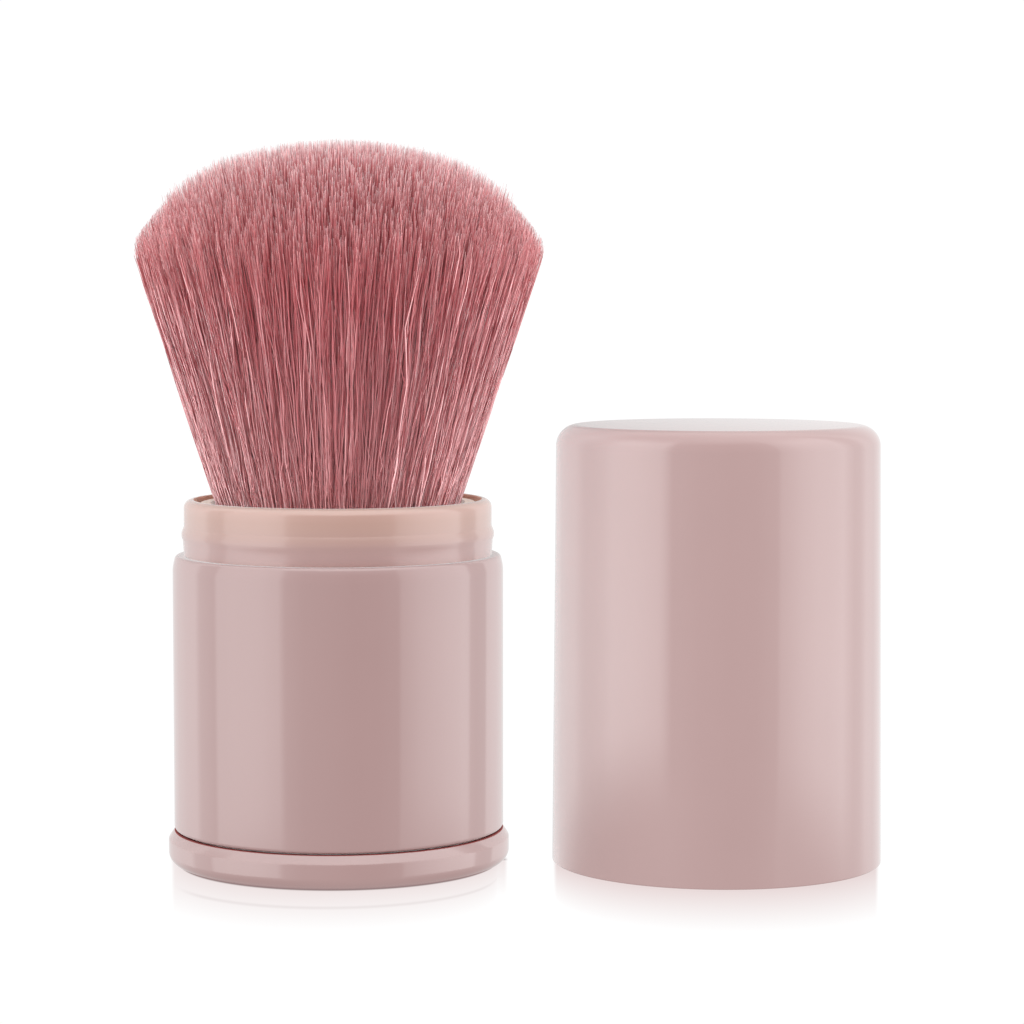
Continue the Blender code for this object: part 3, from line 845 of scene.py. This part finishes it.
def strand_tips(share, chance):
    """Height of each tip: near the dome for most, well under it for some, more of them outside."""
    short_share = SHORT_SHARE + SHORT_SHARE_MORE * smooth_step(share, *SHORT_RIM)
    shorter = np.where(chance.random(STRAND_COUNT) < short_share, SHORT_BY, LONG_BY)
    return dome_height(share) + TIP_REACH - chance.exponential(1.0, STRAND_COUNT) * shorter


def drift(roots, chance, modes, cell, swing, turns):
    """Movement that neighbours share: it opens gaps and gathers locks along the strands."""
    moved = np.zeros((len(roots), len(STRAND_LEVELS), 2))
    for _ in range(modes):
        size = chance.uniform(*cell)
        turn, lean, start = chance.uniform(0, math.tau, 3)
        wave = math.tau / size
        across = roots @ np.array([math.cos(turn), math.sin(turn)]) * wave
        up = STRAND_LEVELS * math.tau * chance.uniform(*turns)
        reach = swing * size / cell[1] * np.cos(across[:, None] + up[None, :] + start)
        moved += reach[..., None] * np.array([math.cos(lean), math.sin(lean)])
    return moved


def strand_paths(roots, height, chance):
    """Where each strand runs: fanned out, moved with its neighbours, and with waves of its own."""
    place = roots[:, None, :] * tuft_reach(height)[..., None]
    level = STRAND_LEVELS[None, :, None]
    loose = smooth_step(level, *LOOSE_LEVELS) * (1 - CALM_SHARE * smooth_step(level, *CALM_LEVELS))
    crimped = loose * (1 - smooth_step(level, *CRIMP_LEVELS))
    shared = drift(roots, chance, *LOCKS)
    shared += drift(roots, chance, *SMALL_LOCKS)
    gathered = LOCK_AT_ROOT + (1 - LOCK_AT_ROOT) * smooth_step(level, *LOCK_LEVELS)
    place = place + shared * loose * gathered
    wild = 1 + WILD_MORE * (chance.random((STRAND_COUNT, 1, 1)) < WILD_SHARE)
    for waves, size, only_root in WAVES:
        start = chance.uniform(0, math.tau, (STRAND_COUNT, 1, 2))
        swing = chance.normal(0, size, (STRAND_COUNT, 1, 2)) * wild
        where = crimped if only_root else loose
        place = place + swing * np.sin(math.tau * waves * level + start) * where
    return place + chance.normal(0, TIP_SCATTER, (STRAND_COUNT, 1, 2)) * level


def strand_limits(height, chance):
    """How far from the axis each level of a strand may be, inside the fan and the dome."""
    edge = 1 + chance.normal(0, EDGE_SCATTER, (STRAND_COUNT, 1)) * STRAND_LEVELS[None, :]
    rise = np.clip((height - DOME_FOOT) / (DOME_TOP - DOME_FOOT), 0, 1)
    dome = np.where(rise < 0.5, TUFT_RADIUS * dome_reach(rise) + DOME_SLACK, 1.0)
    return np.minimum(ROOT_RADIUS * tuft_reach(height), dome) * edge


def bristles(finish, backing_finish):
    """The tuft: strands fanned out from the backing, each a little wavy, ending on the dome."""
    chance = np.random.default_rng(SEED)
    roots = strand_roots(chance)
    share = np.hypot(roots[:, 0], roots[:, 1]) / ROOT_RADIUS
    tips = strand_tips(share, chance)
    low = BACKING_TOP - ROOT_DEPTH
    height = low + STRAND_LEVELS[None, :] * (tips - low)[:, None]
    place = strand_paths(roots, height, chance)
    out = np.hypot(place[..., 0], place[..., 1])
    limit = strand_limits(height, chance)
    place = place * np.minimum(1.0, limit / np.maximum(out, NO_LENGTH))[..., None]
    place[..., 0] += TUFT_LEAN * (height - low) / (DOME_TOP - low)

    taper = 1 - TAPER * smooth_step(STRAND_LEVELS, *TAPER_LEVELS)
    thickness = chance.uniform(*STRAND_RADIUS_SPREAD, STRAND_COUNT)
    size = STRAND_RADIUS * thickness[:, None] * taper[None, :]
    tone = chance.normal(1.0, TONE_SPREAD, STRAND_COUNT)
    tone = tone + (chance.random(STRAND_COUNT) < PALE_SHARE) * PALE_MORE
    drop = tips[:, None] - height
    # Painted shade: strands deep inside the tuft and well below their tips are darkened through
    # their tone
    inside = smooth_step(1 - out / limit, *INNER_DEPTHS) * smooth_step(drop, *INNER_DROPS)
    tone = np.clip(tone, *TONE_LIMITS)[:, None] * (1 - PAINTED_INNER_SHADE * inside)
    ahead = RIM_AHEAD * smooth_step(share, *RIM_SHARES)[:, None]
    below_tip = np.clip(drop / DYED_LENGTH + ahead, 0, 1)

    around = np.arctan2(roots[:, 1], roots[:, 0]) / math.tau + 0.5
    sector = np.floor(around * SECTORS).astype(int) % SECTORS
    pieces = []
    for number in range(SECTORS):
        chosen = np.flatnonzero(sector == number)
        parts = (values[chosen] for values in (place, height, size, tone, below_tip))
        name = f"bristles_{number + 1:02d}"
        mesh = strand_mesh(*parts)
        piece = piece_of(name, mesh, "carriage", finish, ["bristle_tuft"])
        pieces.append(piece)
        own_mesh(piece)
    backing = [
        (0.0, BACKING_TOP),
        (BACKING_RADIUS, BACKING_TOP),
        (BACKING_RADIUS, BACKING_FOOT),
        (0.0, BACKING_FOOT),
    ]
    turned("bristle_backing", backing, "carriage", backing_finish, "bristle_tuft")
    return pieces


def strand_mesh(place, height, size, tone, below_tip):
    """Strands as three-sided tapering tubes, closed at both ends."""
    strands, levels = height.shape
    side_turn = np.arange(STRAND_SIDES) / STRAND_SIDES * math.tau
    spin = (np.arange(strands) * GOLDEN_ANGLE)[:, None, None]
    ring_x = place[..., 0, None] + size[..., None] * np.cos(side_turn + spin)
    ring_y = place[..., 1, None] + size[..., None] * np.sin(side_turn + spin)
    ring_z = np.broadcast_to(height[..., None], ring_x.shape)
    co = np.stack([ring_x, ring_y, ring_z], 3).reshape(-1, 3)

    starts = np.arange(strands) * levels * STRAND_SIDES
    low = starts[:, None, None] + (np.arange(levels - 1) * STRAND_SIDES)[None, :, None]
    high = low + STRAND_SIDES
    side = np.arange(STRAND_SIDES)[None, None, :]
    after = (side + 1) % STRAND_SIDES
    quads = np.stack([low + side, low + after, high + after, high + side], 3)
    top = starts + (levels - 1) * STRAND_SIDES
    ends = np.stack([starts + 2, starts + 1, starts, top, top + 1, top + 2], 1)
    corners = np.concatenate([quads.ravel(), ends.ravel()])
    walls = quads.size // 4

    mesh = bpy.data.meshes.new("strands")
    mesh.vertices.add(len(co))
    mesh.vertices.foreach_set("co", co.astype(np.float32).ravel())
    mesh.loops.add(len(corners))
    mesh.loops.foreach_set("vertex_index", corners.astype(np.int32))
    mesh.polygons.add(walls + 2 * strands)
    begin = np.concatenate([np.arange(walls) * 4, walls * 4 + np.arange(2 * strands) * 3])
    mesh.polygons.foreach_set("loop_start", begin.astype(np.int32))
    mesh.update(calc_edges=True)
    mesh.shade_smooth()

    # tone carries each strand's own tone times the painted shade deep inside the tuft
    for name, values in (("below_tip", below_tip), ("tone", tone)):
        attribute = mesh.attributes.new(name, "FLOAT", "POINT")
        spread = np.repeat(values.ravel(), STRAND_SIDES)
        attribute.data.foreach_set("value", spread.astype(np.float32))
    bake_map(mesh, strands, levels)
    return mesh


def bake_map(mesh, strands, levels):
    """The map for the bake: each strand has its own column, in one of a few rows."""
    columns = math.ceil(strands / BAKE_ROWS)
    left = (np.arange(strands) % columns) / columns
    foot_row = (np.arange(strands) // columns) / BAKE_ROWS
    rise = STRAND_LEVELS / BAKE_ROWS
    wall_map = np.empty((strands, levels - 1, STRAND_SIDES, 4, 2))
    wall_map[..., 0] = left[:, None, None, None] + np.array([0.0, 1.0, 1.0, 0.0]) / columns
    wall_map[..., 0:2, 1] = (foot_row[:, None] + rise[None, :-1])[:, :, None, None]
    wall_map[..., 2:4, 1] = (foot_row[:, None] + rise[None, 1:])[:, :, None, None]
    end_map = np.empty((strands, 2, 3, 2))
    end_map[..., 0] = left[:, None, None] + np.array([0.0, 0.5, 1.0]) / columns
    end_map[..., 1] = foot_row[:, None, None] + np.array([0.0, 0.02, 0.0]) / BAKE_ROWS
    end_map[:, 1, :, 1] = foot_row[:, None] + np.array([1.0, 0.98, 1.0]) / BAKE_ROWS
    bake = mesh.uv_layers.new(name="OFBake")
    flat = np.concatenate([wall_map.reshape(-1), end_map.reshape(-1)])
    bake.data.foreach_set("uv", flat.astype(np.float32))


def camera():
    data = bpy.data.cameras.new("camera")
    data.lens = CAMERA_LENS
    data.sensor_width = CAMERA_SENSOR
    data.clip_start, data.clip_end = CAMERA_RANGE
    eye = bpy.data.objects.new("camera", data)
    eye.location = (CAMERA_X, -CAMERA_DISTANCE, CAMERA_HEIGHT)
    eye.rotation_euler = (math.pi / 2 - CAMERA_PITCH, 0, 0)
    bpy.context.scene.collection.objects.link(eye)
    bpy.context.scene.camera = eye


def studio():
    """White for the camera, and even light from all round for what is matt."""
    world = bpy.data.worlds.new("studio")
    bpy.context.scene.world = world
    world.use_nodes = True
    world.cycles.sampling_method = "NONE"
    world.node_tree.nodes.clear()
    shading = Shading(world.node_tree)
    _, _, z = shading.parts(shading.node("TexCoord", out="Generated"))
    even = SIDE_LIGHT + (TOP_LIGHT - SIDE_LIGHT) * shading.band(z, 0.0, 1.0)
    even = even + (FOOT_LIGHT - SIDE_LIGHT) * shading.band(-z, 0.0, 1.0)
    on_matt = shading.node("LightPath", out="Is Diffuse Ray")
    colour = shading.mix(on_matt, (*WHITE, 1), shading.grey(even))
    lit = shading.node("Background", None, {"Color": colour})
    output = world.node_tree.nodes.new("ShaderNodeOutputWorld")
    world.node_tree.links.new(lit.socket, output.inputs[0])


def stage_material(name):
    material = bpy.data.materials.new(name)
    material.use_nodes = True
    material.node_tree.nodes.clear()
    return material, Shading(material.node_tree)


def stage_piece(mesh, material, place):
    mesh.materials.append(material)
    piece = bpy.data.objects.new(mesh.name, mesh)
    piece.location = place
    bpy.context.scene.collection.objects.link(piece)
    return piece


def collected(name, pieces):
    collection = bpy.data.collections.new(name)
    for piece in pieces:
        collection.objects.link(piece)
    return collection


def glow(shading, colour, clear=False):
    """Finish a stage material that shines, and lets through what is behind it if it is clear."""
    light = shading.node("Emission", None, {"Color": colour})
    if clear:
        light = shading.node("AddShader", None, {0: light, 1: shading.node("BsdfTransparent")})
    output = shading.tree.nodes.new("ShaderNodeOutputMaterial")
    shading.tree.links.new(light.socket, output.inputs[0])


def floor():
    """A white floor with a painted reflection of what stands on it, as a polished one shows, and
    painted dark lines: a contact shadow and the reflected gap line.
    """
    material, shading = stage_material("white_floor_painted_reflection")
    x, y, _ = shading.parts(shading.node("TexCoord", out="Object"))
    column = (x - CAMERA_X) * CAMERA_DISTANCE / (y + CAMERA_DISTANCE) + CAMERA_X
    in_front = 1 - shading.band(y, *PAINTED_REFLECTION_FRONT)
    colour = (*WHITE, 1)
    for centre, width, contact, painted_reflection_share, painted_lines_share in STANDING:
        across = (column - centre) / width
        from_side = 1 - across * across
        under = in_front * shading.band(from_side, *PAINTED_REFLECTION_SIDES)
        inside = (contact**2 - (x - centre) ** 2).most(0.0)
        gap = -y - inside.maths("SQRT", inside)
        # Painted reflection: a pink tint that fades with the distance in front of each foot
        reflection_fade = 1 - (gap / PAINTED_REFLECTION_REACH).most(0.0).least(1.0)
        painted_reflection = reflection_fade * under * painted_reflection_share
        colour = shading.mix(painted_reflection, colour, (*PAINTED_REFLECTION_TINT, 1), "MULTIPLY")
        # Painted dark lines: the reflected gap line a little in front, and contact shade right at
        # the foot
        off_line = gap.maths("ABSOLUTE", gap - PAINTED_LINE_GAP)
        reflected_gap_line = 1 - shading.band(off_line, 0.0, PAINTED_LINE_WIDTH)
        reflected_gap_line = reflected_gap_line * shading.band(from_side, *PAINTED_LINE_SIDES)
        painted_lines = reflected_gap_line * PAINTED_LINE_SHARE + (1 - shading.band(gap, *PAINTED_CONTACT_SHADE_GAPS))
        painted_darkening = painted_lines * under * painted_lines_share
        colour = shading.mix(painted_darkening, colour, (*PAINTED_DARK_LINE_TINT, 1), "MULTIPLY")
    glow(shading, colour)
    half = FLOOR_SIZE / 2
    corners = [(-half, -half, 0), (half, -half, 0), (half, half, 0), (-half, half, 0)]
    mesh = bpy.data.meshes.new("floor")
    mesh.from_pydata(corners, [], [(0, 1, 2, 3)])
    plane = stage_piece(mesh, material, (0, 0, -FLOOR_DEPTH))
    plane.visible_diffuse = plane.visible_shadow = plane.visible_glossy = False
    return plane


def soft_boxes(name, pieces, ring_light, zenith, radius, clear):
    """The ring of soft boxes that these pieces mirror, on a sphere that nothing else sees."""
    overhead, zenith_start, zenith_full, zenith_back = zenith
    brightest = max(level for _, level in ring_light)
    material, shading = stage_material(name)
    material.cycles.emission_sampling = "NONE"
    place = shading.node("TexCoord", out="Object")
    direction = shading.node("VectorMath", {"operation": "NORMALIZE"}, {0: place})
    x, y, z = shading.parts(direction)
    bearing = x.maths("ARCTAN2", x, -y) / math.tau + 0.5
    stops = [((degrees + 180) / 360, level / brightest) for degrees, level in ring_light]
    ring = shading.node("ValToRGB", {"stops": stops}, {"Fac": bearing}) * brightest
    low_down = shading.band(-z, *LOW_LIGHT_FALLS)
    ring = ring + low_down * (ring.least(LOW_LIGHT) - ring)
    behind = shading.band(-y, -zenith_back - ZENITH_FADE, -zenith_back)
    above = shading.band(z, zenith_start, zenith_full) * behind
    ring = ring + above * (overhead - ring)
    below = shading.band(-z, *FLOOR_GLOW_FALLS)
    ring = ring + below * (FLOOR_GLOW - ring)
    glow(shading, shading.grey(ring), clear)
    ball = bmesh.new()
    bmesh.ops.create_icosphere(ball, subdivisions=SPHERE_FINENESS, radius=radius)
    mesh = bpy.data.meshes.new(name)
    ball.to_mesh(mesh)
    ball.free()
    sphere = stage_piece(mesh, material, BOX_CENTRE)
    sphere.visible_camera = sphere.visible_transmission = False
    sphere.visible_diffuse = sphere.visible_shadow = False
    sphere.light_linking.receiver_collection = collected(name, pieces)


def soft_sun(name, pieces, where, side, shine=False):
    """A soft distant light on these pieces alone: on their matt side, or as a shine."""
    bearing, rise, spread, strength = where
    lit = collected(name, pieces)
    data = bpy.data.lights.new(name, "SUN")
    data.energy, data.angle = strength, math.radians(spread)
    lamp = bpy.data.objects.new(name, data)
    bearing, rise = math.radians(side * bearing), math.radians(rise)
    level = math.cos(rise)
    source = Vector((math.sin(bearing) * level, -math.cos(bearing) * level, math.sin(rise)))
    lamp.rotation_euler = source.to_track_quat("Z", "Y").to_euler()
    lamp.visible_diffuse, lamp.visible_glossy = not shine, shine
    data.cycles.use_multiple_importance_sampling = not shine
    bpy.context.scene.collection.objects.link(lamp)
    lamp.light_linking.receiver_collection = lit
    lamp.light_linking.blocker_collection = lit


def wear(node, finish):
    """Give a solid that stays as it is its finish."""
    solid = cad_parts[node]
    solid.visible_glossy = False
    solid.data.materials.clear()
    solid.data.materials.append(finish)


def build():
    camera()
    studio()
    ground = floor()

    shell_pink = gloss("pink_gloss", SHELL_PINK, 0.0)
    cap_pink_painted_lighter = gloss("cap_gloss_painted_lighter", CAP_PINK_PAINTED_LIGHTER, CAP_NOISE_SHIFT)
    peach = neck_finish()
    amber = resin()
    finishes = {name: moulded(name, *values) for name, values in MOULDED.items()}
    finishes |= {name: turned_metal(name, *values) for name, values in METALS.items()}
    finishes["cured_resin"] = amber

    for node, name in WORN.items():
        wear(node, finishes[name])
    plunger(finishes["tube_peach"])
    foot(shell_pink, finishes["pink_ledge"], finishes["pink_underside"])
    shell(shell_pink, finishes["pink_unpolished"])
    liner(peach, finishes["peach_unpolished"])
    top, cover = cap(cap_pink_painted_lighter)
    strands = bristles(fibre(), amber)

    apart = (ground, cover, top, *strands)
    meshes = [piece for piece in bpy.context.scene.objects if piece.type == "MESH"]
    rest = [piece for piece in meshes if piece not in apart]
    soft_boxes("brush_boxes", rest, BRUSH_RING, BRUSH_ZENITH, BRUSH_SPHERE, clear=False)
    with_hair = [cover, *strands]
    soft_boxes("cap_boxes", with_hair, CAP_RING, CAP_ZENITH, CAP_SPHERE, clear=True)
    soft_boxes("cap_top_boxes", [top], CAP_TOP_RING, CAP_ZENITH, CAP_TOP_SPHERE, clear=True)
    for side in (-1, 1):
        soft_sun("hair_light", strands, HAIR_LIGHT, side)
        soft_sun("hair_shine", strands, HAIR_SHINE, side, shine=True)
    bpy.context.scene.view_settings.view_transform = "Standard"
    bpy.context.scene.view_settings.look = "None"


build()
